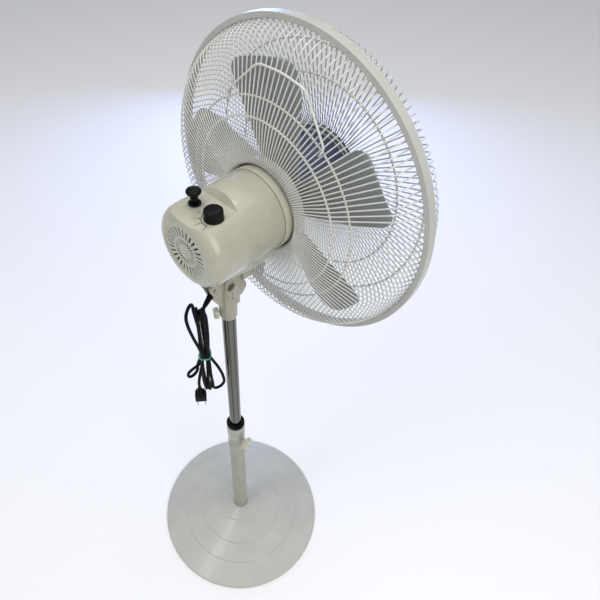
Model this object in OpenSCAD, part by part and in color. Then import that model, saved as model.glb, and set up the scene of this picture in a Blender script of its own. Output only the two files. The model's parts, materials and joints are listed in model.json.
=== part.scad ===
/* [Base] */
// Diameter of the round base
base_d = 370; // [350:2:460]
// Height of the base cover at the pole
base_h = 48; // [42:1:60]
// Height of the upright edge of the base
base_edge_h = 7; // [6:0.5:10]
// Rounding of the upper edge of the base
base_edge_r = 4; // [2:0.5:4.5]
// Wall of the base cover
base_wall = 2.4; // [1.8:0.2:3]
// Radius of the innermost line in the cover
line_in_r = 47; // [42:1:52]
// Radius of the middle line in the cover
line_mid_r = 95; // [85:1:105]
// Radius of the outer line in the cover
line_out_r = 135; // [125:1:145]
// Depth of the lines in the cover
line_depth = 0.8; // [0.5:0.1:1]
// Diameter of the ballast disc
weight_d = 210; // [160:5:220]
// Thickness of the ballast disc
weight_h = 14; // [10:1:15]
// Height of the rubber feet
foot_h = 3; // [2:0.5:4]
// Diameter of the rubber feet
foot_d = 20; // [14:1:24]
// Number of rubber feet
foot_count = 5; // [4:1:8]

/* [Pole] */
// Outer diameter of the fixed lower tube
lower_tube_d = 32; // [30:0.5:36]
// Wall of the lower tube
lower_tube_wall = 1.2; // [1:0.1:1.6]
// Outer diameter of the collar
collar_d = 34.8; // [34.4:0.2:40]
// Height of the lower end of the collar above the floor
collar_bottom_z = 346; // [300:2:400]
// Length of the collar
collar_len = 73; // [64:1:80]
// Height of the bush above the collar
bush_rise = 8; // [6:0.5:12]
// Length of the bush inside the lower tube
bush_len = 69; // [60:1:72]
// Outer diameter of the chromed upper tube
upper_tube_d = 21.8; // [20:0.2:23]
// Wall of the upper tube
upper_tube_wall = 1; // [0.8:0.1:1.4]
// Length of upper tube between the bush and the neck
tube_show = 305; // [290:5:330]
// Length of upper tube left inside the lower tube
tube_inside = 100; // [96:1:110]

/* [Neck] */
// Outer diameter of the socket at its lower end
socket_low_d = 25.6; // [25:0.2:27]
// Outer diameter of the socket at its upper end
socket_top_d = 28; // [27.4:0.2:30]
// Height of the socket
socket_h = 34; // [30:1:38]
// Width of the neck across its cheeks
neck_w = 32; // [31:0.5:36]
// Height of the tilt bolt above the lower end of the neck
pivot_up = 75; // [73:0.5:78]
// Distance of the tilt bolt behind the pole axis
pivot_y = 6.4; // [5:0.2:7]
// Width of the slot for the tilting lug
slot_w = 22; // [20:0.5:24]
// Diameter of the tilt bolt
tilt_bolt_d = 6; // [5:0.5:7]
// Radius of the rounded nose of the tilting lug
nose_r = 14.8; // [13:0.2:15]

/* [Knobs] */
// Diameter of the height knob
height_knob_d = 25; // [20:1:30]
// Thickness of the height knob
height_knob_t = 10; // [8:0.5:13]
// Diameter of the neck knob
neck_knob_d = 18; // [15:0.5:20]
// Thickness of the neck knob
neck_knob_t = 8; // [6:0.5:10]
// Diameter of the clamping screws
clamp_d = 5; // [4:0.5:5]
// Diameter of the speed knob
speed_knob_d = 24.4; // [22:0.4:28]
// Height of the speed knob
speed_knob_h = 13; // [10:0.5:16]
// Diameter of the cap of the swing knob
pull_cap_d = 19; // [16:0.5:21]
// Diameter of the stem of the swing knob
pull_stem_d = 10; // [8:0.5:10.5]
// Travel of the swing knob
pull_travel = 8; // [6:0.5:9]

/* [Motor head] */
// Height of the fan axis above the tilt bolt
axis_up = 87; // [86:0.5:90]
// Outer radius of the motor housing
housing_r = 56; // [54:0.5:60]
// Wall of the motor housing
housing_wall = 2.4; // [2:0.2:3]
// Distance of the rear face behind the pole axis
housing_back = 62.3; // [60:0.5:70]
// Distance of the housing seam in front of the pole axis
seam_front = 54.7; // [52:0.5:56]
// Length of the front ring
ring_len = 18.7; // [17:0.5:20]
// Step of the front ring over the housing
ring_step = 1; // [0.4:0.2:2]
// Radius of the vent in the rear face
vent_r = 37; // [34:0.5:38]
// Number of vent bars
vent_count = 28; // [20:1:30]
// Height of the flat deck above the fan axis
deck_up = 45; // [43:0.5:47]
// Start of the deck behind the pole axis
deck_start = 4; // [2:0.5:6]
// Half width of the tray under the housing
tray_half_w = 28; // [26:0.5:30]
// Diameter of the motor shaft
shaft_d = 8; // [7:0.5:9]

/* [Guard] */
// Radius to the middle of the rim band
rim_r = 213.4; // [206:0.5:220]
// Distance of the rim plane in front of the pole axis
rim_front = 120.7; // [119:0.5:124]
// Number of wires in the rear half
rear_wire_count = 144; // [96:6:150]
// Number of wires in the front half
front_wire_count = 144; // [96:6:150]
// Thickness of a guard wire
wire_d = 1.9; // [1.6:0.1:2.2]
// Thickness of a ring wire
ring_wire_d = 2.6; // [2.2:0.1:3]
// Thickness of the handle wire
handle_d = 2.8; // [2.4:0.1:3.6]
// Radius where the flat middle of the rear half ends
kink_r = 118; // [112:1:124]
// Depth of the rear half behind the rim plane at that radius
kink_depth = 54.5; // [52:0.5:56]
// Radius of the second ring wire of the rear half
rear_ring_r = 140; // [132:1:148]
// Radius of the top of the carry handle
handle_r = 176; // [168:1:180]
// Depth of the front half before the rim plane
front_depth = 56; // [50:0.5:57]
// Radius of the outer ring wire of the front half
front_ring_r = 182; // [176:1:186]
// Radius of the middle ring wire of the front half
front_mid_r = 138; // [130:1:146]
// Radius of the badge
badge_r = 72; // [64:1:76]

/* [Blade] */
// Radius at the blade tips
blade_r = 177; // [170:1:180]
// Number of blades
blade_count = 5; // [3:1:6]
// Pitch of the blades at the tip
tip_pitch = 7.5; // [6:0.5:10]
// Pitch of the blades at the hub
root_pitch = 18; // [12:0.5:22]
// Thickness of the blades
blade_t = 2; // [1.6:0.1:2.4]
// Radius of the blade hub
hub_r = 34; // [30:1:36]

/* [Cord] */
// Diameter of the power cord
cord_d = 5; // [4:0.2:6]
// Width of the hanging hank
hank_w = 27; // [24:1:30]
// Thickness of the hanging hank
hank_t = 25; // [22:0.5:28]
// Length of the hanging hank
hank_len = 205; // [190:5:215]

/* [Hidden] */
$fn = 64;
fit = 0.05;      // radial clearance of a sliding or turning fit
gap = 0.35;      // clearance between pieces that move past each other
slip = 0.1;      // clearance between pieces of one body
cream = "#c9c7b4"; ivory = "#dbd6bd"; black = "#151515"; steel = "#a9acb0"; grey = "#838683";

// heights and places that follow from the sizes above
base_r = base_d / 2;
lower_r = lower_tube_d / 2;
lower_in_r = lower_r - lower_tube_wall;
upper_r = upper_tube_d / 2;
plate_h = 1.6;
deck_h = foot_h + plate_h;
flange_h = 4;
flange_z = deck_h + weight_h;
collar_top = collar_bottom_z + collar_len;
bush_top = collar_top + bush_rise;
neck_z = bush_top + tube_show;
clamp_z = collar_bottom_z + 31;
lip_z = neck_z + socket_h;
pivot_z = neck_z + pivot_up;
axis_z = pivot_z + axis_up;
deck_z = axis_z + deck_up;
tube_top = lip_z - 6;
lug_w = slot_w - 2 * gap;
cheek_top = pivot_z + 15;
swing_top = pivot_z + 21;
washer_t = 0.9;
tray_z = swing_top + washer_t + fit + 0.5;
rear_s = -(housing_back + rim_front);
seam_s = -(rim_front - seam_front);
ring_s = seam_s + ring_len;
ring_out_r = housing_r + ring_step;
neck_screw_z = neck_z + 9;
neck_screw_turn = 59;
neck_knob_in = socket_top_d / 2 + gap;
speed_x = -22; speed_y = 31;
pull_x = 15.5; pull_y = 28;

function arc_points(c, r, a0, a1, n) = [for (i = [0 : n]) let (a = a0 + (a1 - a0) * i / n) c + r * [cos(a), sin(a)]];
function heading(p, q) = atan2(q[1] - p[1], q[0] - p[0]);
function turn(a) = a > 180 ? a - 360 : a < -180 ? a + 360 : a;
// a path with each inner corner rounded to radius r in n steps
function rounded(path, r, n) = [for (i = [0 : len(path) - 1])
  if (i == 0 || i == len(path) - 1) path[i]
  else let (a = heading(path[i - 1], path[i]), t = turn(heading(path[i], path[i + 1]) - a),
            p = path[i] - r * tan(abs(t) / 2) * [cos(a), sin(a)], s = sign(t),
            c = p + s * r * [-sin(a), cos(a)])
    each [for (k = [0 : n]) let (b = a + t * k / n) c - s * r * [-sin(b), cos(b)]]];
// the outline of a bent bar of width w along a path
function bar_side(path, d) = [for (i = [0 : len(path) - 1])
  let (a = heading(path[max(i - 1, 0)], path[max(i, 1)]),
       b = heading(path[min(i, len(path) - 2)], path[min(i + 1, len(path) - 1)]),
       m = (a + turn(b - a) / 2))
    path[i] + d / cos(turn(b - a) / 2) * [-sin(m), cos(m)]];
function reversed(v) = [for (i = [len(v) - 1 : -1 : 0]) v[i]];
function bar_outline(path, w) = concat(bar_side(path, w / 2), reversed(bar_side(path, -w / 2)));

module at_axis() { translate([0, -rim_front, axis_z]) rotate([90, 0, 0]) children(); }
module ring(r, s, t) { translate([0, 0, s]) rotate_extrude() translate([r, 0]) circle(r = t); }
module tube(r_out, r_in, z0, z1) {
  translate([0, 0, z0]) rotate_extrude() translate([r_in, 0]) square([r_out - r_in, z1 - z0]);
}
module along_x(x0, x1, y, z, r) { translate([x0, y, z]) rotate([0, 90, 0]) cylinder(r = r, h = x1 - x0); }
module side_plate(pts, w) { translate([-w / 2, 0, 0]) rotate([90, 0, 90]) linear_extrude(height = w) polygon(pts); }
// straight rod between two points
module rod(p, q, r) {
  d = q - p;
  translate(p) rotate([0, acos(d[2] / norm(d)), atan2(d[1], d[0])]) cylinder(r = r, h = norm(d));
}

// ---- base ----
cone_in = lower_r + 8;
cone_out = base_r - base_edge_r;
function cone_z(r) = base_edge_h + (base_h - base_edge_h) * (cone_out - r) / (cone_out - cone_in);
function line_cut(r) = [[r + 0.8, cone_z(r + 0.8)], [r, cone_z(r) - line_depth], [r - 0.8, cone_z(r - 0.8)]];
module base_cover() {
  hole = lower_r + slip;
  outer = concat([[hole, base_h + 1.2], [hole + 2, base_h + 0.6], [cone_in, base_h]],
    reversed(line_cut(line_in_r)), reversed(line_cut(line_mid_r)), reversed(line_cut(line_out_r)),
    arc_points([base_r - base_edge_r, base_edge_h - base_edge_r], base_edge_r, 76, 0, 6), [[base_r, foot_h * 0.6]]);
  inner = [[base_r - base_wall, foot_h * 0.6], [base_r - base_wall, base_edge_h - base_wall],
    [cone_in, base_h - base_wall], [hole, base_h - base_wall]];
  color(cream) rotate_extrude() polygon(concat(outer, inner));
}
module base_plate() color("#303030") difference() {
  translate([0, 0, foot_h]) cylinder(r = base_r - base_wall - slip, h = plate_h);
  translate([0, 0, foot_h - 1]) cylinder(r = 12, h = plate_h + 2);
}
module base_feet() color(black) for (i = [0 : foot_count - 1]) rotate([0, 0, i * 360 / foot_count + 18])
  translate([base_r - 22, 0, 0]) cylinder(r1 = foot_d / 2 - 1.5, r2 = foot_d / 2, h = foot_h);
module base_weight() color("#5a5a5a") tube(weight_d / 2, 12, deck_h, flange_z);
module pole_flange() color(steel) difference() {
  union() {
    tube(45, 12, flange_z, flange_z + flange_h);
    tube(lower_in_r, lower_in_r - 2, flange_z + flange_h, flange_z + flange_h + 12);
  }
  for (i = [0 : 2]) rotate([0, 0, i * 120]) translate([33, 0, flange_z - 1]) cylinder(r = 3.1, h = flange_h + 2);
}
module flange_bolts() color(steel) for (i = [0 : 2]) rotate([0, 0, i * 120]) translate([33, 0, 0]) {
  translate([0, 0, flange_z]) cylinder(r = 3, h = flange_h);
  translate([0, 0, flange_z + flange_h]) cylinder(r = 5.5, h = 4, $fn = 6);
}

// ---- pole ----
module clamp_hole(r) { along_x(-collar_d, 0, 0, clamp_z, r); }
module lower_tube() color(cream) difference() {
  tube(lower_r, lower_in_r, flange_z + flange_h, collar_top);
  clamp_hole(clamp_d / 2 + slip);
}
module height_collar() color(cream) difference() {
  union() {
    tube(collar_d / 2, lower_r, collar_bottom_z + 1.2, collar_top);
    tube(collar_d / 2 - 0.6, lower_r, collar_bottom_z, collar_bottom_z + 1.2);
  }
  clamp_hole(clamp_d / 2 + slip);
}
module collar_bush() color(black) difference() {
  union() {
    tube(lower_in_r, upper_r + fit, collar_top - bush_len, collar_top);
    tube(collar_d / 2 - 0.2, upper_r + fit, collar_top, bush_top - 2);
    tube(upper_r + 3, upper_r + fit, bush_top - 2, bush_top);
  }
  clamp_hole(clamp_d / 2 + slip);
}
stud_in = upper_r + 0.4;
knob_in = collar_d / 2 + 7;
module height_clamp_stud() color(steel) along_x(-(knob_in + height_knob_t * 0.6), -stud_in, 0, clamp_z, clamp_d / 2);
module height_clamp_knob() color(ivory) difference() {
  translate([-knob_in, 0, clamp_z]) rotate([0, -90, 0]) union() {
    cylinder(r = 6, h = 1.5);
    translate([0, 0, 1.5]) cylinder(r = height_knob_d / 2, h = height_knob_t - 2.7);
    translate([0, 0, height_knob_t - 1.2]) cylinder(r = height_knob_d / 2 - 2.6, h = 1.2);
  }
  for (i = [0 : 13]) translate([-knob_in - 1.5, 0, clamp_z]) rotate([0, -90, 0]) rotate([0, 0, i * 360 / 14])
    translate([height_knob_d / 2 + 1, 0, -1]) cylinder(r = 2, h = height_knob_t);
  along_x(-(knob_in + height_knob_t * 0.6), 0, 0, clamp_z, clamp_d / 2);
}
module upper_tube() color(steel) tube(upper_r, upper_r - upper_tube_wall, bush_top - tube_inside, tube_top);
module tube_glide() color(black) tube(lower_in_r - gap, upper_r, bush_top - tube_inside, bush_top - tube_inside + 8);

// ---- neck ----
module neck_plan() {
  r = 8; x = neck_w / 2 - r;
  translate([-neck_w / 2, -6]) square([neck_w, 24]);
  translate([-x, -14]) square([2 * x, 10]);
  for (k = [-1, 1]) translate([k * x, -6]) circle(r = r);
}
module hex_rim(k) {
  translate([k * neck_w / 2, pivot_y, pivot_z]) rotate([0, k * 90, 0]) rotate([0, 0, 90]) difference() {
    translate([0, 0, -1]) cylinder(r = 9.3, h = 1.9, $fn = 6);
    translate([0, 0, -3.4]) cylinder(r = 7.6, h = 5, $fn = 6);
  }
}
module neck_bracket() color("#c2c0ac") difference() {
  union() {
    difference() {
      intersection() {
        translate([0, 0, lip_z]) linear_extrude(height = cheek_top - lip_z) neck_plan();
        side_plate([[-20, lip_z - 1], [17, lip_z - 1], [18, lip_z + 24], [14, cheek_top + 1],
          [-20, cheek_top + 1]], neck_w + 2);
      }
      // recess for the bolt head on each side and the two upright grooves below it
      for (k = [-1, 1]) {
        translate([k * (neck_w / 2 - 3), pivot_y, pivot_z]) rotate([0, k * 90, 0]) rotate([0, 0, 90])
          cylinder(r = 7.6, h = 5, $fn = 6);
        translate([k * neck_w / 2 - 1, 3, pivot_z - 26]) cube([2, 1.8, 15]);
        translate([k * neck_w / 2 - 1, 13.6, pivot_z - 21]) cube([2, 1.8, 14]);
      }
    }
    for (k = [-1, 1]) hex_rim(k);
    // rear fins, with the cord between them
    for (k = [-1, 1]) translate([k * 10, 0, 0]) side_plate([[12, lip_z + 2], [18, lip_z + 2], [27, lip_z + 18.6],
      [33, lip_z + 37], [38, lip_z + 48], [38.5, cheek_top], [10, cheek_top]], 3);
    side_plate([[12, lip_z], [18, lip_z + 2], [23, lip_z + 12], [25.5, lip_z + 26], [27, lip_z + 44],
      [14, lip_z + 44]], 20);
    translate([0, 0, neck_z + 4]) cylinder(r1 = socket_low_d / 2 + 0.4, r2 = socket_top_d / 2, h = socket_h - 4 + 0.5);
    translate([0, 0, neck_z]) cylinder(r1 = socket_low_d / 2 - 1.2, r2 = socket_low_d / 2 + 0.4, h = 4);
  }
  // bore for the tube and screw hole
  translate([0, 0, neck_z - 1]) cylinder(r = upper_r + fit, h = tube_top - neck_z + 1 + 0.3);
  at_neck_screw() cylinder(r = clamp_d / 2 + fit, h = neck_w);
  // slot for the tilting lug
  side_plate([[-30, lip_z + 1], [8.5, lip_z + 1], [11, lip_z + 12], [21.6, lip_z + 34], [23.2, cheek_top + 2],
    [-30, cheek_top + 2]], slot_w);
  // tilt bolt, rear hole, gland
  along_x(-neck_w, neck_w, pivot_y, pivot_z, tilt_bolt_d / 2 + slip);
  along_x(-neck_w, neck_w, 31, pivot_z + 7, 2.5);
  at_gland() translate([0, 0, -3]) cylinder(r = gland_neck_r + slip, h = 12);
  at_gland() translate([0, 0, gland_neck - slip]) cylinder(r = gland_flange_r + slip, h = 10);
}
module at_neck_screw() {
  translate([0, 0, neck_screw_z]) rotate([0, 0, neck_screw_turn]) rotate([0, 90, 0]) children();
}
module neck_clamp_stud() color(steel) at_neck_screw()
  translate([0, 0, stud_in]) cylinder(r = clamp_d / 2, h = neck_knob_in + neck_knob_t * 0.7 - stud_in);
module neck_clamp_knob() color(ivory) at_neck_screw() difference() {
  translate([0, 0, neck_knob_in]) union() {
    cylinder(r = neck_knob_d / 2 - 1.6, h = neck_knob_t);
    for (i = [0 : 5]) rotate([0, 0, i * 60 + 30]) translate([neck_knob_d / 2 - 3, 0, 0.8])
      cylinder(r = 3, h = neck_knob_t - 2);
  }
  cylinder(r = clamp_d / 2, h = neck_knob_in + neck_knob_t * 0.7);
}
module tilt_bolt() color("#3a3a38") {
  along_x(-(neck_w / 2 - 3), neck_w / 2 - 1, pivot_y, pivot_z, tilt_bolt_d / 2);
  translate([-(neck_w / 2 - 3), pivot_y, pivot_z]) rotate([0, -90, 0]) cylinder(r = 5.6, h = 2.4, $fn = 6);
}
module tilt_nut() color("#3a3a38") translate([neck_w / 2 - 3, pivot_y, pivot_z]) rotate([0, 90, 0]) difference() {
  cylinder(r = 5.6, h = 2.6, $fn = 6);
  translate([0, 0, -1]) cylinder(r = tilt_bolt_d / 2, h = 5);
}
module tilt_head() color("#c2c0ac") difference() {
  union() {
    side_plate([[-26, pivot_z - 4], [-22, pivot_z - 12], [4, pivot_z - 14], [18, pivot_z - 4], [18, swing_top],
      [-26, swing_top]], lug_w);
    along_x(-lug_w / 2, lug_w / 2, -12.2, pivot_z - 20.6, nose_r);
    side_plate([[-39, pivot_z - 1], [-35, pivot_z - 4.5], [-17.4, pivot_z - 4.5], [-17.4, swing_top], [-39, swing_top]], 30);
  }
  along_x(-20, 20, pivot_y, pivot_z, tilt_bolt_d / 2 + fit);
  translate([0, pivot_y, pivot_z + 8]) cylinder(r = 5, h = 20);
}
module swing_pin() color(steel) translate([0, pivot_y, 0]) {
  translate([0, 0, pivot_z + 8]) cylinder(r = 5, h = 37);
  translate([0, 0, pivot_z + 45]) cylinder(r = 7, h = 1.5);
}
module thrust_washer() color(steel) translate([0, pivot_y, 0]) tube(10.4, 5 + slip, swing_top, swing_top + washer_t);

// ---- motor head ----
module lathe(pts) { at_axis() rotate_extrude() polygon(pts); }
fillet_r = housing_r - vent_r - 1;
module deck_cut(w) { side_plate([[deck_start - w, deck_z - w], [90, deck_z - w], [90, axis_z + housing_r + 5],
  [deck_start - 7 - w, axis_z + housing_r + 5]], 2 * housing_r); }
module housing_outer() difference() {
  lathe(concat([[0, seam_s], [housing_r, seam_s]],
    arc_points([housing_r - fillet_r, rear_s + fillet_r], fillet_r, 0, -90, 8), [[0, rear_s]]));
  deck_cut(0);
}
module housing_inner() difference() {
  lathe(concat([[0, seam_s + 1], [housing_r - housing_wall, seam_s + 1]],
    arc_points([housing_r - fillet_r, rear_s + fillet_r], fillet_r - housing_wall, 0, -70, 6),
    [[vent_r, rear_s + 4], [0, rear_s + 4]]));
  deck_cut(housing_wall);
}
module motor_housing() color(cream) difference() {
  housing_outer();
  housing_inner();
  at_axis() translate([0, 0, rear_s - 1]) {
    translate([0, 0, 0]) cylinder(r = vent_r, h = 2);
    for (i = [0 : vent_count - 1]) rotate([0, 0, i * 360 / vent_count]) {
      translate([vent_r * 0.58, -1.3, 0]) cube([vent_r * 0.33, 2.6, 8]);
      translate([vent_r * 0.30, -0.8, 0]) cube([vent_r * 0.18, 1.6, 8]);
    }
  }
  translate([speed_x, speed_y, deck_z - 10]) cylinder(r = 4, h = 20);
  translate([pull_x, pull_y, deck_z - 10]) cylinder(r = pull_stem_d / 2 + 1.8, h = 20);
  translate([0, pivot_y, axis_z - housing_r - 2]) cylinder(r = 12.5, h = 10);
}
module front_ring() color(cream) at_axis() {
  translate([0, 0, 0]) rotate_extrude() polygon([[housing_r - housing_wall - 2.4, seam_s + 2], [housing_r - housing_wall - 0.1, seam_s],
    [ring_out_r, seam_s], [ring_out_r, ring_s - 1.5], [ring_out_r - 1.5, ring_s], [housing_r - housing_wall - 2.4, ring_s]]);
}
module bottom_tray() color(cream) difference() {
  union() {
    difference() {
      side_plate([[-tray_front, tray_z + 2], [-(tray_front - 2), tray_z], [-24, tray_z],
        [40, tray_z + 13], [42, tray_z + 16], [42, axis_z - 35], [-tray_front, axis_z - 35]], 2 * tray_half_w);
      side_plate([[-(tray_front - housing_wall), tray_z + housing_wall], [-24, tray_z + housing_wall], [38, tray_z + 13 + housing_wall],
        [38, axis_z - 34], [-(tray_front - housing_wall), axis_z - 34]], 2 * (tray_half_w - housing_wall));
    }
    translate([0, pivot_y, swing_top + washer_t + fit]) cylinder(r = 10.4, h = 22.6);
    translate([0, pivot_y, swing_top + washer_t + fit]) cylinder(r = 15, h = 10);
  }
  at_axis() translate([0, 0, rear_s]) cylinder(r = housing_r, h = seam_s - rear_s);
  at_axis() translate([0, 0, seam_s - 0.01]) cylinder(r = ring_out_r, h = ring_len + 5);
  translate([0, pivot_y, swing_top]) cylinder(r = 5 + fit, h = 40);
}
module motor_stator() color("#6d6f72") at_axis() translate([0, 0, -105]) rotate_extrude() translate([22.6, 0]) square([19, 30]);
module motor_windings() color("#a5582c") at_axis() for (s = [-109.5, -70.5]) ring(31, s, 4.4);
module front_shield() color(steel) at_axis() rotate_extrude() polygon([[8, -64.9], [50, -64.9], [50, -61], [20, -59], [20, -32], [8, -32]]);
module rear_shield() color(steel) at_axis() rotate_extrude() polygon([[8, -129], [12, -129], [13, -119], [46, -119], [46, -116], [8, -116]]);
module motor_bearings() color("#b08d4c") at_axis() {
  tube(8, shaft_d / 2 + fit, -46, -33);
  tube(8, shaft_d / 2 + fit, -128, -117);
}
module motor_rotor() color("#77797c") at_axis() tube(22.2, shaft_d / 2, -106, -74);
module motor_shaft() color(steel) at_axis() {
  translate([0, 0, -166]) cylinder(r = shaft_d / 2, h = 176);
  translate([0, 0, -160]) cylinder(r = shaft_d / 2 + 0.6, h = 20);
}
wheel_r = pull_x - shaft_d / 2 - 0.6 - gap;
module gearbox_case() color("#8f8f88") difference() {
  translate([-9, 12, axis_z - 18]) cube([40, 38, 36]);
  translate([-6.5, 14.5, axis_z - 15.5]) cube([35, 33, 31]);
  at_axis() translate([0, 0, -140]) cylinder(r = shaft_d / 2 + 1, h = 12);
  translate([pull_x, pull_y, axis_z]) cylinder(r = 2.5 + fit, h = 30);
}
module worm_wheel() color("#d8c27a") translate([pull_x, pull_y, 0]) {
  translate([0, 0, axis_z - 5]) difference() {
    cylinder(r = wheel_r, h = 10);
    for (i = [0 : 23]) rotate([0, 0, i * 15]) translate([wheel_r, 0, -1]) cylinder(r = 0.7, h = 12);
  }
  translate([0, 0, axis_z - 12]) cylinder(r = 2.5, h = deck_up - 4);
}
module speed_switch() color("#2b2b2b") {
  translate([speed_x - 8.5, speed_y - 11, deck_z - housing_wall - 20]) cube([17, 20, 18]);
  translate([speed_x, speed_y, deck_z - housing_wall - 3]) cylinder(r = 3, h = housing_wall + 3 + speed_knob_h - 4);
}
module speed_knob() color(black) translate([speed_x, speed_y, deck_z + gap]) difference() {
  union() {
    translate([0, 0, 0]) cylinder(r1 = speed_knob_d / 2, r2 = speed_knob_d / 2 - 0.7, h = speed_knob_h - 1.2);
    translate([0, 0, speed_knob_h - 1.2]) cylinder(r1 = speed_knob_d / 2 - 0.7, r2 = speed_knob_d / 2 - 1.9, h = 1.2);
  }
  for (i = [0 : 19]) rotate([0, 0, i * 18]) translate([speed_knob_d / 2 + 0.9, 0, -1]) cylinder(r = 1.5, h = speed_knob_h - 2.4);
  translate([0, 0, -1]) cylinder(r = 3 + fit, h = speed_knob_h - 2.6);
}
stem_r = pull_stem_d / 2;
module swing_knob() color(black) translate([pull_x, pull_y, deck_z]) {
  translate([0, 0, 4 + pull_travel]) rotate_extrude() polygon(concat([[0, 0], [stem_r, 0], [pull_cap_d / 2 - 2.5, 2.4]],
    arc_points([pull_cap_d / 2 - 3, 5.3], 3, -60, 75, 5), [[pull_cap_d / 2 - 5, 8.6], [0, 9.4]]));
  translate([0, 0, -5]) cylinder(r = stem_r, h = 10 + pull_travel);
}
module knob_ferrule() color(black) translate([pull_x, pull_y, deck_z]) {
  tube(stem_r + 3, stem_r + fit, 0, 2.4);
  tube(stem_r + 1.7, stem_r + fit, -6, 0);
}
module dial_marks() color(black) translate([speed_x, speed_y, deck_z]) {
  for (i = [0 : 3]) rotate([0, 0, 10 + i * 32]) translate([15.6, -0.4, 0]) cube([3.4, 0.8, 0.25]);
  rotate([0, 0, 8]) rotate_extrude(angle = 100) translate([14.4, 0]) square([0.9, 0.25]);
}
module capacitor() color("#d6d6d0") translate([-42, 12, axis_z - 22]) cube([12, 24, 30]);

// ---- guard ----
// depth of the rear dish at radius r, on the straight part
function dish(r) = -kink_depth + (r - kink_r) * (kink_depth - 28) / (200 - kink_r);
hub_well_r = ring_out_r + 3.4;
hub_ridge_r = hub_well_r + 6.5;
ridge_mid_r = hub_ridge_r - 2.8;
ridge_mid_s = -kink_depth + 2;
ridge_round = 3.6;
// radius of the bend of a wire over the ridge, at the middle of the wire
over_ridge = ridge_round + wire_d / 2 + slip;
tray_front = rim_front + ridge_mid_s - over_ridge - wire_d / 2 - gap;
module rear_guard_hub() color(cream) at_axis() difference() {
  rotate_extrude() polygon(concat([[20.1, -36.5], [20.1, -38.5], [hub_well_r - 1.6, -38.5]],
    [[hub_well_r, -40], [hub_well_r + 0.2, -kink_depth + 3]], arc_points([ridge_mid_r, ridge_mid_s], ridge_round, 180, 320, 8),
    [[hub_ridge_r - 1.6, -kink_depth + 2], [hub_well_r + 2.4, -kink_depth + 4], [hub_well_r + 2, -38.5], [hub_well_r, -36.5]]));
  for (i = [0 : 3]) rotate([0, 0, i * 90 + 45]) translate([44, 0, -45]) cylinder(r = 3, h = 12);
}
module wires(path, count, r) {
  outline = bar_outline(rounded(path, r, 3), wire_d);
  for (i = [0 : count - 1]) rotate([0, 0, (i + 0.5) * 360 / count])
    rotate([90, 0, 0]) translate([0, 0, -wire_d / 2]) linear_extrude(height = wire_d) polygon(outline);
}
rim_in = rim_r - 2.4;
rim_gap = 2.9;
rear_path = [[ridge_mid_r - over_ridge, ridge_mid_s + 7], [ridge_mid_r - over_ridge, ridge_mid_s - over_ridge],
  [hub_ridge_r + 7, ridge_mid_s - over_ridge], [kink_r, -kink_depth], [200, dish(200)], [rim_in - 1.6, -rim_gap - 1]];
front_path = [[badge_r - 4, front_depth], [front_ring_r, front_depth - 9], [rim_r - 13, front_depth - 18], [rim_r - 8, 26], [rim_in - 1.6, rim_gap + 1]];
module rear_guard_wires() color(cream) at_axis() wires(rear_path, rear_wire_count, over_ridge);
module front_guard_wires() color(cream) at_axis() wires(front_path, front_wire_count, 9);
weld = (wire_d + ring_wire_d) / 2 - 0.25;
module rear_guard_rings() color(cream) at_axis() {
  ring(kink_r, -kink_depth + weld, ring_wire_d / 2);
  ring(rear_ring_r, dish(rear_ring_r) + weld, ring_wire_d / 2);
  ring(rim_in, -rim_gap, 2.4);
}
function front_s(r) = front_depth - 9 * (r - badge_r + 4) / (front_ring_r - badge_r + 4);
module front_guard_rings() color(cream) at_axis() {
  ring(front_ring_r - 4, front_s(front_ring_r - 4) - weld, ring_wire_d / 2);
  ring(front_mid_r, front_s(front_mid_r) - weld, ring_wire_d / 2);
  ring(badge_r - 1, front_s(badge_r - 1) - weld, ring_wire_d / 2);
  ring(rim_in, rim_gap, 2.4);
}
handle_turn = 5.5;
handle_corner = 11.7;
handle_foot = 32.5;
function polar(r, a) = [-r * sin(a), r * cos(a)];
handle_plan = rounded([polar(rear_ring_r - 3, handle_foot), polar(rear_ring_r + 7, handle_foot - 1), polar(handle_r, handle_corner),
  polar(handle_r, 0), polar(handle_r, -handle_corner), polar(rear_ring_r + 7, 1 - handle_foot), polar(rear_ring_r - 3, -handle_foot)], 9, 5);
// the handle lies on the wires at its feet and stands off them at the top
function handle_rise(r) = -0.25 + 4 * min(1, max(0, (r - rear_ring_r) / (handle_r - rear_ring_r)));
handle_path = [for (q = handle_plan) [q[0], q[1], dish(norm(q)) - (wire_d + handle_d) / 2 - handle_rise(norm(q))]];
module carry_handle() color(cream) at_axis() rotate([0, 0, handle_turn]) sweep(handle_path, handle_d / 2, 10, [0, 0, 1]);
module guard_nut() color(black) at_axis() difference() {
  tube(30, 20.1, -36.4, -31.5);
  for (i = [0 : 7]) rotate([0, 0, i * 45]) translate([31.5, 0, -40]) cylinder(r = 3, h = 12);
}
module guard_band() color(cream) at_axis() difference() {
  tube(rim_r + 3.4, rim_r - 3.2, -6.2, 6.2);
  tube(rim_r + 0.6, rim_r - 6, -5.3, 5.3);
}
module band_clip() color(cream) at_axis() translate([0, -rim_r - 3.2, 0]) difference() {
  union() {
    translate([-9, -5, -5]) cube([18, 6.2, 10]);
    translate([0, -6.4, 0]) rotate([-90, 0, 0]) cylinder(r = 2.6, h = 2);
  }
  translate([-0.6, -5.6, -6]) cube([1.2, 5, 12]);
}
module front_badge() color("#5b6080") at_axis() {
  translate([0, 0, front_depth + wire_d / 2]) cylinder(r = badge_r - 3, h = 1.8);
  translate([0, 0, front_depth + wire_d / 2]) rotate_extrude() polygon([[badge_r - 3, 0], [badge_r, 0], [badge_r, 1.6], [badge_r - 1.2, 2.8], [badge_r - 3, 2.8]]);
}

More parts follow.
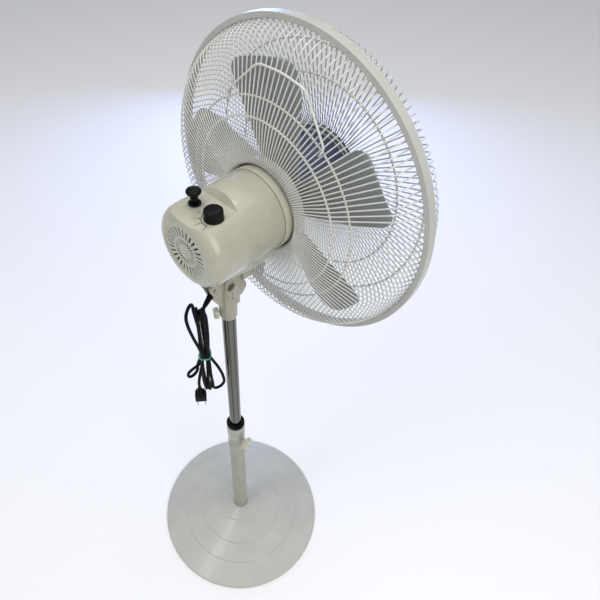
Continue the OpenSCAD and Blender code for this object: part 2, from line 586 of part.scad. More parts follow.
// ---- blade ----
half_chord = [[30, 19], [45, 24.7], [59, 28.8], [78, 32.7], [97, 37.2], [120, 42.5], [140, 47.5], [160, 49.5], [177, 49]];
mid_angle = [[30, 9], [45, 4.5], [59, 0], [78, -3.9], [97, -6.2], [120, -8], [140, -9.2], [160, -10.7], [177, -11.8]];
blade_corner = 13;
blade_root = hub_r - 2;
blade_mid_s = -21;
camber_h = 6;
// point of the blade surface, u from root to tip, v from the leading to the trailing edge, side 1 or -1
function blade_point(u, v, side) =
  let (r = blade_root + (blade_r - blade_root) * u, k = 177 * r / blade_r, over = max(0, r - blade_r + blade_corner),
       w = lookup(k, half_chord) - blade_corner + sqrt(blade_corner * blade_corner - over * over),
       pitch = root_pitch + (tip_pitch - root_pitch) * pow(u, 0.4),
       x = (2 * v - 1) * w, a = lookup(k, mid_angle) + x * cos(pitch) / r * 180 / PI,
       camber = camber_h * (1 - pow(2 * v - 1, 2)), t = side * blade_t / 2 * (0.25 + 0.75 * (1 - pow(2 * v - 1, 4))),
       s = blade_mid_s + x * sin(pitch) - camber + t)
    [-r * sin(a), r * cos(a), s];
nv = 8;
// rows of the blade from root to tip, closer together where the corners are rounded
rows = concat([for (i = [0 : 11]) i * 0.91 / 12], [0.91, 0.935, 0.957, 0.975, 0.989, 0.997, 1]);
nu = len(rows) - 1;
function lattice(side) = [for (i = [0 : nu], j = [0 : nv]) blade_point(rows[i], j / nv, side)];
function idx(i, j, b) = b * (nu + 1) * (nv + 1) + i * (nv + 1) + j;
module one_blade() {
  faces = concat(
    [for (i = [0 : nu - 1], j = [0 : nv - 1]) each [[idx(i, j, 1), idx(i, j + 1, 1), idx(i + 1, j, 1)], [idx(i, j + 1, 1), idx(i + 1, j + 1, 1), idx(i + 1, j, 1)]]],
    [for (i = [0 : nu - 1], j = [0 : nv - 1]) each [[idx(i, j, 0), idx(i + 1, j, 0), idx(i, j + 1, 0)], [idx(i, j + 1, 0), idx(i + 1, j, 0), idx(i + 1, j + 1, 0)]]],
    [for (i = [0 : nu - 1]) each [[idx(i, 0, 0), idx(i, 0, 1), idx(i + 1, 0, 0)], [idx(i, 0, 1), idx(i + 1, 0, 1), idx(i + 1, 0, 0)],
      [idx(i, nv, 0), idx(i + 1, nv, 0), idx(i, nv, 1)], [idx(i, nv, 1), idx(i + 1, nv, 0), idx(i + 1, nv, 1)]]],
    [for (j = [0 : nv - 1]) each [[idx(0, j, 0), idx(0, j + 1, 0), idx(0, j, 1)], [idx(0, j + 1, 0), idx(0, j + 1, 1), idx(0, j, 1)],
      [idx(nu, j, 0), idx(nu, j, 1), idx(nu, j + 1, 0)], [idx(nu, j + 1, 0), idx(nu, j, 1), idx(nu, j + 1, 1)]]]);
  polyhedron(points = concat(lattice(-1), lattice(1)), faces = faces);
}
module fan_blade() color(grey) at_axis() {
  difference() {
    translate([0, 0, -29]) cylinder(r = hub_r, h = 28);
    translate([0, 0, -30]) rotate_extrude() translate([9, 0]) square([hub_r - 14, 26]);
    translate([0, 0, -30]) cylinder(r = shaft_d / 2, h = 40);
  }
  for (i = [0 : blade_count - 1]) rotate([0, 0, i * 360 / blade_count]) one_blade();
}
module blade_nut() color(black) at_axis() difference() {
  union() {
    translate([0, 0, -1 + slip]) cylinder(r = 14, h = 6);
    translate([0, 0, 5]) cylinder(r1 = 12.6, r2 = 9, h = 10);
  }
  translate([0, 0, -3]) cylinder(r = shaft_d / 2, h = 13);
}

// ---- power cord ----
cord_r = cord_d / 2;
hank_x = 12.7; hank_y = 42.7; hank_turn = 50;
hank_top = neck_z + 42;
gland_neck_r = 4.5;
gland_neck = 6;
gland_flange_r = 6.4;
relief_end = 28;
module at_gland() { translate([0, 22.5, pivot_z - 4]) rotate([-135, 0, 0]) children(); }
lead_start = [0, 22.5 + relief_end * sin(45), pivot_z - 4 - relief_end * sin(45)];
lead_end = [-0.3, 42.8, hank_top - 16];
// the lead follows a cubic curve, here up to a little inside the hank
lead_pts = [for (i = [0 : 9]) let (u = i * 0.077, w = 1 - u)
  w * w * w * lead_start + 3 * u * w * w * (lead_start + [0, 5.7, -5.7])
  + 3 * u * u * w * (lead_end + [0, 0, 12]) + u * u * u * lead_end];
module cord_gland() color(black) at_gland() difference() {
  union() {
    cylinder(r = gland_neck_r, h = gland_neck);
    translate([0, 0, gland_neck]) cylinder(r = gland_flange_r, h = 2);
    translate([0, 0, gland_neck + 2]) cylinder(r1 = cord_r + 2.5, r2 = cord_r + 0.5, h = relief_end - gland_neck - 2);
  }
  translate([0, 0, -1]) cylinder(r = cord_r, h = relief_end + 0.9);
}
function unit(v) = v / norm(v);
function tangent(p, i) = unit(p[min(i + 1, len(p) - 1)] - p[max(i - 1, 0)]);
module sweep(p, r, n, side = [1, 0, 0.02]) {
  rings = [for (i = [0 : len(p) - 1]) let (t = tangent(p, i), a = unit(cross(t, side)), b = cross(t, a))
    [for (k = [0 : n - 1]) p[i] + r * (cos(360 * k / n) * a + sin(360 * k / n) * b)]];
  m = len(p);
  faces = concat([[for (k = [n - 1 : -1 : 0]) k]], [[for (k = [0 : n - 1]) (m - 1) * n + k]],
    [for (i = [0 : m - 2], k = [0 : n - 1]) each [[i * n + k, i * n + (k + 1) % n, (i + 1) * n + k], [i * n + (k + 1) % n, (i + 1) * n + (k + 1) % n, (i + 1) * n + k]]]);
  polyhedron(points = [for (q = rings) each q], faces = faces);
}
module cord_lead() color(black) sweep(lead_pts, cord_r, 8);
module in_hank() { translate([hank_x, hank_y, hank_top]) rotate([0, 0, hank_turn]) children(); }
module cord_hank() color(black) difference() {
  in_hank() translate([0, hank_t / 2, 0]) rotate([90, 0, 0]) linear_extrude(height = hank_t) union() {
    translate([-hank_w / 2, -hank_len + hank_w / 2]) square([hank_w, hank_len - hank_w]);
    translate([0, -hank_w / 2]) circle(r = hank_w / 2);
    translate([0, -hank_len + hank_w / 2]) circle(r = hank_w / 2);
  }
  in_hank() translate([0, 0, -hank_len * 0.52]) difference() {
    translate([-hank_w, -hank_t, -2.5]) cube([2 * hank_w, 2 * hank_t, 5]);
    translate([-hank_w / 2 + 3, -hank_t / 2 + 1.5, -5]) cube([hank_w - 6, hank_t - 3, 10]);
  }
}
module cord_tie() color("#3c967a") in_hank() translate([0, 0, -hank_len * 0.52]) difference() {
  translate([-hank_w / 2 + 1, -hank_t / 2 + 0.2, -2]) cube([hank_w - 2, hank_t - 0.4, 4]);
  translate([-hank_w / 2 + 3, -hank_t / 2 + 1.5, -6]) cube([hank_w - 6, hank_t - 3, 12]);
}
plug_top = -hank_len + 25;
module at_plug() { in_hank() translate([13, hank_t / 2 + 8, plug_top]) children(); }
module plug_body() color(black) at_plug() {
  translate([-9, -6, -22]) cube([18, 12, 16]);
  translate([-7, -5, -6]) cube([14, 10, 6]);
  cylinder(r1 = 5, r2 = 3.4, h = 9);
}
module plug_pins() color(steel) at_plug() for (k = [-1, 1])
  translate([k * 6.35 - 0.75, -3.15, -38]) cube([1.5, 6.3, 16]);

base_cover();
base_weight();
base_plate();
base_feet();
pole_flange();
flange_bolts();
lower_tube();
height_collar();
collar_bush();
height_clamp_knob();
height_clamp_stud();
upper_tube();
tube_glide();
neck_bracket();
neck_clamp_knob();
neck_clamp_stud();
tilt_bolt();
tilt_nut();
tilt_head();
swing_pin();
thrust_washer();
motor_housing();
front_ring();
bottom_tray();
motor_stator();
motor_windings();
front_shield();
rear_shield();
motor_bearings();
motor_rotor();
motor_shaft();
gearbox_case();
worm_wheel();
speed_knob();
speed_switch();
swing_knob();
knob_ferrule();
dial_marks();
capacitor();
rear_guard_hub();
rear_guard_wires();
rear_guard_rings();
carry_handle();
guard_nut();
guard_band();
band_clip();
front_guard_wires();
front_guard_rings();
front_badge();
fan_blade();
blade_nut();
cord_gland();
cord_lead();
cord_hank();
cord_tie();
plug_body();
plug_pins();
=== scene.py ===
import json
import math
import bpy
import bmesh
import numpy as np
from mathutils import Euler, Matrix, Vector


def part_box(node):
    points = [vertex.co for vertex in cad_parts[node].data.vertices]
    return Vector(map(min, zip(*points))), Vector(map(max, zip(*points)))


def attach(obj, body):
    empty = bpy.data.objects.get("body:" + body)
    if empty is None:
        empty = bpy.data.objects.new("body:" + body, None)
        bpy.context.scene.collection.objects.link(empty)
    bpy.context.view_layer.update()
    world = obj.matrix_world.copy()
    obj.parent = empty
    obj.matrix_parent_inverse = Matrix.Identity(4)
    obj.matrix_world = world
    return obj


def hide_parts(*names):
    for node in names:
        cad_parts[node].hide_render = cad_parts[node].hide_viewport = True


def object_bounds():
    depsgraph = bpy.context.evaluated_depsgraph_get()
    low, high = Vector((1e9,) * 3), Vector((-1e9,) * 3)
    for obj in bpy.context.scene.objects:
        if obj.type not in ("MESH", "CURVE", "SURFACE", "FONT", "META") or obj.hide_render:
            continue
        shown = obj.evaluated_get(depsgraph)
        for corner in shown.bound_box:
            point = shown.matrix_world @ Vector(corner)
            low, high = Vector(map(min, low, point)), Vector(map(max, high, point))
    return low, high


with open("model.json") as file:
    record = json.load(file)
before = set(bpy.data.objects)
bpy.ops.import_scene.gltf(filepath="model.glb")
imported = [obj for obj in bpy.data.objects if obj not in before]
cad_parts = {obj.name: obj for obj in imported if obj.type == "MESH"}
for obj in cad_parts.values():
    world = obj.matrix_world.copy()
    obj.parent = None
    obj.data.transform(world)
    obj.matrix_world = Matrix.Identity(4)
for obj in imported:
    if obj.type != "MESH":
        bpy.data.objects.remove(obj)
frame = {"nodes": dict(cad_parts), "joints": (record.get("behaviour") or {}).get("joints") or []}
cadBox = [list(corner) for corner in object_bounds()]
nodes = frame["nodes"]
jointPlace = {j["name"]: j.get("pos_m", [0, 0, 0]) for j in frame["joints"]}
print("frame loaded,", len(nodes), "nodes")

# places that every piece shares
bandLow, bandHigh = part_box("guard_band")
rimY = (bandLow.y + bandHigh.y) / 2
axisZ = jointPlace["fan_spin"][2]
floorZ = cadBox[0][2]


# ---------- camera ----------
cameraSet = {
    "place": (-0.3947, 0.3262, 1.3063),
    "turn": (42.26, 0.5, -134.07),  # degrees
    "focal": 31.12,
    "shift": (0.0792, 0.0155),
}


def makeCamera(s):
    data = bpy.data.cameras.new("viewCamera")
    data.sensor_width = 36
    data.lens = s["focal"]
    data.shift_x, data.shift_y = s["shift"]
    data.clip_start, data.clip_end = 0.01, 50
    cam = bpy.data.objects.new("viewCamera", data)
    cam.location = s["place"]
    cam.rotation_euler = Euler([math.radians(a) for a in s["turn"]], "XYZ")
    bpy.context.scene.collection.objects.link(cam)
    bpy.context.scene.camera = cam


makeCamera(cameraSet)
print("camera made")


# ---------- mesh helpers ----------
def closeAndTurnOut(mesh, fill=True):
    bm = bmesh.new()
    bm.from_mesh(mesh)
    bmesh.ops.remove_doubles(bm, verts=bm.verts, dist=1e-6)
    if fill:
        bmesh.ops.holes_fill(bm, edges=[e for e in bm.edges if e.is_boundary], sides=0)
    bmesh.ops.recalc_face_normals(bm, faces=bm.faces)
    bm.to_mesh(mesh)
    bm.free()


def gridFaces(nu, nv, wrapU, wrapV):
    # each face joins a grid point to its neighbours one step on along u and along v
    a, b = np.meshgrid(np.arange(nu if wrapU else nu - 1), np.arange(nv if wrapV else nv - 1), indexing="ij")
    a2, b2 = (a + 1) % nu, (b + 1) % nv
    return np.stack([a * nv + b, a2 * nv + b, a2 * nv + b2, a * nv + b2], -1).reshape(-1, 4)


def meshObject(name, points, faces, smooth=True, fill=True):
    mesh = bpy.data.meshes.new(name)
    mesh.from_pydata(np.asarray(points, float).reshape(-1, 3).tolist(), [], np.asarray(faces).tolist())
    closeAndTurnOut(mesh, fill)
    mesh.shade_smooth() if smooth else mesh.shade_flat()
    obj = bpy.data.objects.new(name, mesh)
    bpy.context.scene.collection.objects.link(obj)
    return obj


def gridObject(name, points, wrapU=False, wrapV=False, fill=True):
    nu, nv = points.shape[:2]
    return meshObject(name, points, gridFaces(nu, nv, wrapU, wrapV), fill=fill)


def rounded(path, radius, steps=5):
    # a path whose inner corners are arcs: each corner is a quadratic curve between points
    # set back along its two sides
    path = np.asarray(path, float)
    out = [path[:1]]
    t = np.linspace(0, 1, steps + 1)[:, None]
    for before, at, after in zip(path[:-2], path[1:-1], path[2:]):
        d1, d2 = before - at, after - at
        back = min(radius, 0.45 * np.linalg.norm(d1), 0.45 * np.linalg.norm(d2))
        p, q = at + d1 / np.linalg.norm(d1) * back, at + d2 / np.linalg.norm(d2) * back
        out.append((1 - t) ** 2 * p + 2 * t * (1 - t) * at + t ** 2 * q)
    out.append(path[-1:])
    return np.vstack(out)


def aroundHead(r, angle, s):
    # r out from the fan axis, angle from straight up towards -X, s forward of the rim plane
    return np.stack([-r * np.sin(angle), rimY - s + 0 * angle, axisZ + r * np.cos(angle)], -1)


def latheHead(name, profile, segments=128, closed=True):
    # the profile's points (r, s) carried round the fan axis
    profile = np.asarray(profile, float)
    angle = np.linspace(0, 2 * np.pi, segments, endpoint=False)[:, None]
    points = aroundHead(profile[None, :, 0], angle, profile[None, :, 1])
    return gridObject(name, points, wrapU=True, wrapV=closed)


def latheUp(name, profile, centre=(0, 0), segments=128, closed=True):
    # the profile's points (r, z) carried round an upright axis
    profile = np.asarray(profile, float)
    angle = np.linspace(0, 2 * np.pi, segments, endpoint=False)[:, None]
    r = profile[None, :, 0]
    points = np.stack([centre[0] + r * np.cos(angle), centre[1] + r * np.sin(angle),
                       profile[None, :, 1] + 0 * angle], -1)
    return gridObject(name, points, wrapU=True, wrapV=closed)


def tubePoints(path, radius, sides=10):
    # a ring of points about each path point; each ring's frame is carried on from the one before it
    path = np.asarray(path, float)
    radius = np.broadcast_to(radius, len(path))
    tangent = np.gradient(path, axis=0)
    tangent /= np.linalg.norm(tangent, axis=1)[:, None]
    normal = np.cross(tangent[0], [0.31, 0.2, 0.93])
    phi = np.linspace(0, 2 * np.pi, sides, endpoint=False)
    rings = []
    for at, t, r in zip(path, tangent, radius):
        normal = normal - t * (normal @ t)
        normal /= np.linalg.norm(normal)
        other = np.cross(t, normal)
        rings.append(at + r * (np.cos(phi)[:, None] * normal + np.sin(phi)[:, None] * other))
    return np.array(rings)


def softenedCopy(node, width, segments=2, angle=35, flatten=0.5):
    # the node's own shape with its sharp edges rounded
    source = nodes[node]
    mesh = source.data.copy()
    mesh.materials.clear()
    bm = bmesh.new()
    bm.from_mesh(mesh)
    bmesh.ops.remove_doubles(bm, verts=bm.verts, dist=2e-6)
    bmesh.ops.dissolve_limit(bm, angle_limit=math.radians(flatten), verts=bm.verts, edges=bm.edges)
    bm.to_mesh(mesh)
    bm.free()
    mesh.name = node + "Soft"
    obj = bpy.data.objects.new(node + "Soft", mesh)
    bpy.context.scene.collection.objects.link(obj)
    bevel = obj.modifiers.new("edges", "BEVEL")
    bevel.width = width
    bevel.segments = segments
    bevel.limit_method = "ANGLE"
    bevel.angle_limit = math.radians(angle)
    bevel.harden_normals = False
    bevel.use_clamp_overlap = True
    mesh.shade_smooth()
    with bpy.context.temp_override(object=obj, active_object=obj, selected_objects=[obj]):
        bpy.ops.object.modifier_apply(modifier=bevel.name)
    obj.data.set_sharp_from_angle(angle=math.radians(38))
    return obj


def place(obj, body, material, slot, *replaced):
    obj.data.materials.clear()
    obj.data.materials.append(material)
    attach(obj, body)
    if replaced:
        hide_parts(*replaced)
    return obj


# ---------- shader node groups ----------
def socket(group, name, kind, value=None, output=False):
    made = group.interface.new_socket(name=name, in_out="OUTPUT" if output else "INPUT", socket_type=kind)
    if value is not None:
        made.default_value = value
    return made


def link(tree, a, b):
    tree.links.new(a, b)


def mathNode(tree, operation, a, b, clamp=False):
    node = tree.nodes.new("ShaderNodeMath")
    node.operation = operation
    node.use_clamp = clamp
    for place_, value in zip(node.inputs, (a, b)):
        if isinstance(value, (int, float)):
            place_.default_value = value
        else:
            link(tree, value, place_)
    return node.outputs[0]


def mixColor(tree, factor, a, b, blend="MIX"):
    node = tree.nodes.new("ShaderNodeMix")
    node.data_type = "RGBA"
    node.blend_type = blend
    for socket_, value in ((node.inputs[0], factor), (node.inputs[6], a), (node.inputs[7], b)):
        if hasattr(value, "default_value"):
            link(tree, value, socket_)
        else:
            socket_.default_value = value
    return node.outputs[2]


def noise(tree, vector, scale, detail=3.0, rough=0.55):
    node = tree.nodes.new("ShaderNodeTexNoise")
    node.inputs["Detail"].default_value = detail
    node.inputs["Roughness"].default_value = rough
    link(tree, vector, node.inputs["Vector"])
    if isinstance(scale, (int, float)):
        node.inputs["Scale"].default_value = scale
    else:
        link(tree, scale, node.inputs["Scale"])
    return node.outputs[0]


def remap(tree, value, low, high):
    node = tree.nodes.new("ShaderNodeMapRange")
    node.inputs["From Min"].default_value = low
    node.inputs["From Max"].default_value = high
    link(tree, value, node.inputs["Value"])
    return node.outputs[0]


def groupStart(name):
    group = bpy.data.node_groups.new(name, "ShaderNodeTree")
    return group, group.nodes.new("NodeGroupInput"), group.nodes.new("NodeGroupOutput")


def mouldGroup():
    # the slight waviness and fine bloom of a moulded or coated skin
    group, start, end = groupStart("mouldedSkin")
    socket(group, "Vector", "NodeSocketVector")
    socket(group, "Wave Scale", "NodeSocketFloat", 18.0)
    socket(group, "Grain Scale", "NodeSocketFloat", 900.0)
    socket(group, "Grain Share", "NodeSocketFloat", 0.25)
    socket(group, "Height", "NodeSocketFloat", output=True)
    socket(group, "Bloom", "NodeSocketFloat", output=True)
    wave = noise(group, start.outputs["Vector"], start.outputs["Wave Scale"], 2.0)
    grain = noise(group, start.outputs["Vector"], start.outputs["Grain Scale"], 2.0)
    share = mathNode(group, "MULTIPLY", grain, start.outputs["Grain Share"])
    link(group, mathNode(group, "ADD", wave, share), end.inputs["Height"])
    bloom = noise(group, start.outputs["Vector"],
                  mathNode(group, "MULTIPLY", start.outputs["Wave Scale"], 2.7), 4.0)
    link(group, remap(group, bloom, 0.35, 0.7), end.inputs["Bloom"])
    return group


def dustGroup():
    # dust gathers on what faces up, in soft patches
    group, start, end = groupStart("settledDust")
    socket(group, "Vector", "NodeSocketVector")
    socket(group, "Amount", "NodeSocketFloat", 0.3)
    socket(group, "Patch Scale", "NodeSocketFloat", 35.0)
    socket(group, "Mask", "NodeSocketFloat", output=True)
    geometry = group.nodes.new("ShaderNodeNewGeometry")
    split = group.nodes.new("ShaderNodeSeparateXYZ")
    link(group, geometry.outputs["Normal"], split.inputs[0])
    up = remap(group, split.outputs["Z"], 0.1, 0.95)
    patch = noise(group, start.outputs["Vector"], start.outputs["Patch Scale"], 5.0, 0.65)
    speck = noise(group, start.outputs["Vector"],
                  mathNode(group, "MULTIPLY", start.outputs["Patch Scale"], 22.0), 2.0)
    both = mathNode(group, "MULTIPLY", remap(group, patch, 0.35, 0.75), remap(group, speck, 0.4, 0.7))
    both = mathNode(group, "MULTIPLY", both, up)
    link(group, mathNode(group, "MULTIPLY", both, start.outputs["Amount"], True), end.inputs["Mask"])
    return group


def edgeGroup():
    # rubbed edges: where the rounded normal leaves the face normal, broken up by noise
    group, start, end = groupStart("rubbedEdge")
    socket(group, "Vector", "NodeSocketVector")
    socket(group, "Amount", "NodeSocketFloat", 0.5)
    socket(group, "Mask", "NodeSocketFloat", output=True)
    bevel = group.nodes.new("ShaderNodeBevel")
    bevel.samples = 4
    bevel.inputs["Radius"].default_value = 0.0012
    geometry = group.nodes.new("ShaderNodeNewGeometry")
    dot = group.nodes.new("ShaderNodeVectorMath")
    dot.operation = "DOT_PRODUCT"
    link(group, bevel.outputs[0], dot.inputs[0])
    link(group, geometry.outputs["Normal"], dot.inputs[1])
    edge = remap(group, mathNode(group, "SUBTRACT", 1.0, dot.outputs["Value"]), 0.01, 0.12)
    broken = mathNode(group, "MULTIPLY", edge, remap(group, noise(group, start.outputs["Vector"], 160.0, 4.0),
                                                     0.4, 0.62))
    link(group, mathNode(group, "MULTIPLY", broken, start.outputs["Amount"], True), end.inputs["Mask"])
    return group


groups = {"skin": mouldGroup(), "dust": dustGroup(), "edge": edgeGroup()}


def useGroup(tree, key, vector, **values):
    node = tree.nodes.new("ShaderNodeGroup")
    node.node_tree = groups[key]
    link(tree, vector, node.inputs["Vector"])
    for name, value in values.items():
        node.inputs[name.replace("_", " ")].default_value = value
    return node


def finish(name, color, rough=0.3, metal=0.0, coat=0.0, wave=18.0, grain=900.0, share=0.25, bump=0.03,
           dust=0.25, edge=0.3, edgeColor=None, bloom=0.04, spec=0.5, tone=0.06):
    # a moulded, coated or turned finish: own colour, bloom in the gloss, dust on top, rubbed edges
    material = bpy.data.materials.new(name)
    material.use_nodes = True
    tree = material.node_tree
    shader = tree.nodes["Principled BSDF"]
    coords = tree.nodes.new("ShaderNodeTexCoord").outputs["Object"]
    skin = useGroup(tree, "skin", coords, Wave_Scale=wave, Grain_Scale=grain, Grain_Share=share)
    dusty = useGroup(tree, "dust", coords, Amount=dust)
    rubbed = useGroup(tree, "edge", coords, Amount=edge)
    darker = tuple(c * (1 - tone) for c in color) + (1,)
    lighter = tuple(min(1, c * (1 + tone * 0.5)) for c in color) + (1,)
    shade = mixColor(tree, skin.outputs["Bloom"], darker, lighter)
    wornTo = edgeColor if edgeColor else tuple(min(1, c * 1.25 + 0.04) for c in color)
    shade = mixColor(tree, rubbed.outputs["Mask"], shade, tuple(wornTo) + (1,))
    shade = mixColor(tree, dusty.outputs["Mask"], shade, (0.46, 0.44, 0.40, 1))
    link(tree, shade, shader.inputs["Base Color"])
    gloss = mathNode(tree, "ADD", mathNode(tree, "MULTIPLY", skin.outputs["Bloom"], bloom), rough)
    gloss = mathNode(tree, "ADD", gloss, mathNode(tree, "MULTIPLY", dusty.outputs["Mask"], 0.4), True)
    link(tree, gloss, shader.inputs["Roughness"])
    raised = tree.nodes.new("ShaderNodeBump")
    raised.inputs["Strength"].default_value = bump
    raised.inputs["Distance"].default_value = 0.002
    link(tree, skin.outputs["Height"], raised.inputs["Height"])
    link(tree, raised.outputs[0], shader.inputs["Normal"])
    shader.inputs["Metallic"].default_value = metal
    shader.inputs["Coat Weight"].default_value = coat
    shader.inputs["Coat Roughness"].default_value = 0.06
    shader.inputs["Specular IOR Level"].default_value = spec
    return material


def latheTurned(name, color, rough, scale, axis="Y"):
    # steel or laminations with fine rings round the axis
    material = finish(name, color, rough=rough, metal=0.9, dust=0.1, edge=0.2, bump=0.02)
    tree = material.node_tree
    coords = tree.nodes.new("ShaderNodeTexCoord").outputs["Object"]
    wave = tree.nodes.new("ShaderNodeTexWave")
    wave.bands_direction = axis
    wave.inputs["Scale"].default_value = scale
    wave.inputs["Distortion"].default_value = 0.3
    link(tree, coords, wave.inputs["Vector"])
    raised = tree.nodes.new("ShaderNodeBump")
    raised.inputs["Strength"].default_value = 0.25
    raised.inputs["Distance"].default_value = 0.0004
    link(tree, wave.outputs["Color"], raised.inputs["Height"])
    link(tree, raised.outputs[0], tree.nodes["Principled BSDF"].inputs["Normal"])
    return material


def chromeFinish():
    # chrome plate with painted reflection: upright light and dark bands in its base colour, as a tube shows a
    # room
    material = finish("chrome", (0.3, 0.3, 0.27), rough=0.08, metal=1.0, bump=0.004, dust=0.02, edge=0.0)
    tree = material.node_tree
    split = tree.nodes.new("ShaderNodeSeparateXYZ")
    link(tree, tree.nodes.new("ShaderNodeNewGeometry").outputs["Normal"], split.inputs[0])
    flat = tree.nodes.new("ShaderNodeCombineXYZ")
    link(tree, split.outputs["X"], flat.inputs["X"])
    link(tree, split.outputs["Y"], flat.inputs["Y"])
    # painted reflection: noise on the normal's direction sets dark and light bands that stand for the room
    # seen in the tube
    bands = remap(tree, noise(tree, flat.outputs[0], 3.4, 1.5), 0.36, 0.62)
    shade = mixColor(tree, bands, (0.025, 0.025, 0.020, 1), (0.17, 0.167, 0.15, 1))
    link(tree, shade, tree.nodes["Principled BSDF"].inputs["Base Color"])
    return material


def badgeFinish():
    # a blue grey disc with a pale ring near its edge and a slow fade to its middle; its dark blue is partly
    # own colour and partly painted shade, standing for the shadow and bluish light the disc sits in
    material = finish("badgeBack", (0.13, 0.15, 0.28), rough=0.3, coat=0.2, edge=0.1)
    tree = material.node_tree
    split = tree.nodes.new("ShaderNodeSeparateXYZ")
    link(tree, tree.nodes.new("ShaderNodeTexCoord").outputs["Object"], split.inputs[0])
    upward = mathNode(tree, "SUBTRACT", split.outputs["Z"], axisZ)
    across = mathNode(tree, "MULTIPLY", split.outputs["X"], split.outputs["X"])
    outward = mathNode(tree, "SQRT", mathNode(tree, "ADD", across,
                                              mathNode(tree, "MULTIPLY", upward, upward)), 0)
    inRing = mathNode(tree, "MULTIPLY", mathNode(tree, "GREATER_THAN", outward, 0.060),
                      mathNode(tree, "LESS_THAN", outward, 0.0635))
    fade = remap(tree, outward, 0.0, 0.06)
    # painted shade in part: the dark blue, lighter towards the middle, stands partly for the disc's shadow
    # and bluish light
    shade = mixColor(tree, fade, (0.20, 0.22, 0.36, 1), (0.11, 0.13, 0.25, 1))
    shade = mixColor(tree, inRing, shade, (0.55, 0.56, 0.58, 1))
    link(tree, shade, tree.nodes["Principled BSDF"].inputs["Base Color"])
    return material


finishes = {
    "creamShell": finish("creamShell", (0.41, 0.403, 0.318), rough=0.19, coat=0.25, bump=0.02),
    "creamNeck": finish("creamNeck", (0.33, 0.318, 0.243), rough=0.28, coat=0.1, bump=0.03),
    "creamBase": finish("creamBase", (0.47, 0.47, 0.43), rough=0.3, coat=0.22, wave=9, bump=0.01, dust=0.05,
                        spec=0.3),
    "creamTube": finish("creamTube", (0.345, 0.34, 0.275), rough=0.14, coat=0.4, bump=0.012),
    "wireCoat": finish("wireCoat", (0.60, 0.60, 0.555), rough=0.2, coat=0.35, bump=0.02, dust=0.05, edge=0.0),
    "ivoryKnob": finish("ivoryKnob", (0.49, 0.475, 0.37), rough=0.24, coat=0.1),
    "blackGloss": finish("blackGloss", (0.004, 0.004, 0.0045), rough=0.16, coat=0.03, dust=0.0, edge=0.05,
                         edgeColor=(0.02, 0.02, 0.02), spec=0.1),
    "chrome": chromeFinish(),
    "steel": finish("steel", (0.45, 0.46, 0.47), rough=0.32, metal=1.0, bump=0.05, dust=0.1),
    "darkSteel": finish("darkSteel", (0.05, 0.05, 0.048), rough=0.35, metal=0.6,
                        edgeColor=(0.25, 0.25, 0.24)),
    "bladeSmoke": finish("bladeSmoke", (0.235, 0.248, 0.25), rough=0.3, coat=0.1, bump=0.02, dust=0.3,
                         edge=0.25),
    "badgeBack": badgeFinish(),
    "blackRubber": finish("blackRubber", (0.003, 0.003, 0.0035), rough=0.36, bump=0.04, dust=0.0, edge=0.0,
                          edgeColor=(0.02, 0.02, 0.02), spec=0.07),
    "greenTie": finish("greenTie", (0.05, 0.33, 0.22), rough=0.38, edge=0.1),
    "ballast": finish("ballast", (0.08, 0.08, 0.08), rough=0.6, metal=0.5, grain=400, share=0.9, bump=0.3),
    "blackSheet": finish("blackSheet", (0.03, 0.03, 0.03), rough=0.4, bump=0.04),
    "copper": finish("copper", (0.55, 0.24, 0.09), rough=0.3, metal=0.8, grain=500, share=0.8, bump=0.3),
    "bronze": finish("bronze", (0.5, 0.33, 0.13), rough=0.35, metal=1.0, bump=0.08),
    "nylon": finish("nylon", (0.68, 0.60, 0.36), rough=0.45),
    "greyCase": finish("greyCase", (0.2, 0.2, 0.19), rough=0.45),
    # painted shadow: a dark finish that stands for the shade in the gap between the housing and its front
    # ring
    "seamDark": finish("seamDark", (0.10, 0.095, 0.075), rough=0.6, edge=0.0, dust=0.0, spec=0.2),
    "blackPrint": finish("blackPrint", (0.02, 0.02, 0.02), rough=0.5, edge=0.0),
}
finishes["stack"] = latheTurned("stack", (0.28, 0.29, 0.3), 0.4, 160.0)
print("finishes made,", len(finishes))


# ---------- power cord ----------
cordSet = {
    "diameter": 0.005,
    "exit": (0, 0.0423, 0.7832),
    "exitAlong": (0, 0.0057, -0.0057),
    "leadEnds": 0.012,
    "hankCentre": (0.0127, 0.0427),
    "hankTop": 0.774,
    "hankLength": 0.205,
    "hankTurn": 50,  # degrees about the upright
    "halfDepth": 0.0108,
    "turns": 4,
    "pitch": 0.0042,
    "stepsPerTurn": 130,
    "lastShare": 0.4,  # of a turn, for the last strand
    "squeeze": 0.42,  # how much the tie narrows the bundle
    "squeezeReach": 0.03,
    "ripple": 0.0009,
    "tieWireRadius": 0.0011,
    "tieTail": 0.012,
    "tieShare": 0.52,
    # one value per turn: how far its lower end hangs below the tie, and how far it is pushed aside and turned
    "lowBelowTie": (0.084, 0.080, 0.046, 0.078),
    "lowAside": (-0.0098, -0.002, 0.021, 0.002),
    "lowTurned": (62, 12, 48, -15),  # degrees
    # the same for the upper ends, and for the last strand that runs down to the plug
    "topBelow": (0.016, 0.021, 0.024, 0.020, 0.010),
    "topAside": (0, -0.002, 0.001, 0.001, 0.009),
    "topTurned": (0, -14, 10, -6, 24),  # degrees
    "plugAt": (0.013, 0.0205, -0.171),
}


def hankPoint(s, lx, ly, lz):
    # local width, thickness and height of the hank to the frame
    a = math.radians(s["hankTurn"])
    x = s["hankCentre"][0] + lx * np.cos(a) - ly * np.sin(a)
    y = s["hankCentre"][1] + lx * np.sin(a) + ly * np.cos(a)
    return np.stack([x, y, s["hankTop"] + lz], -1)


def smooth(share):
    share = np.clip(share, 0, 1)
    return share * share * (3 - 2 * share)


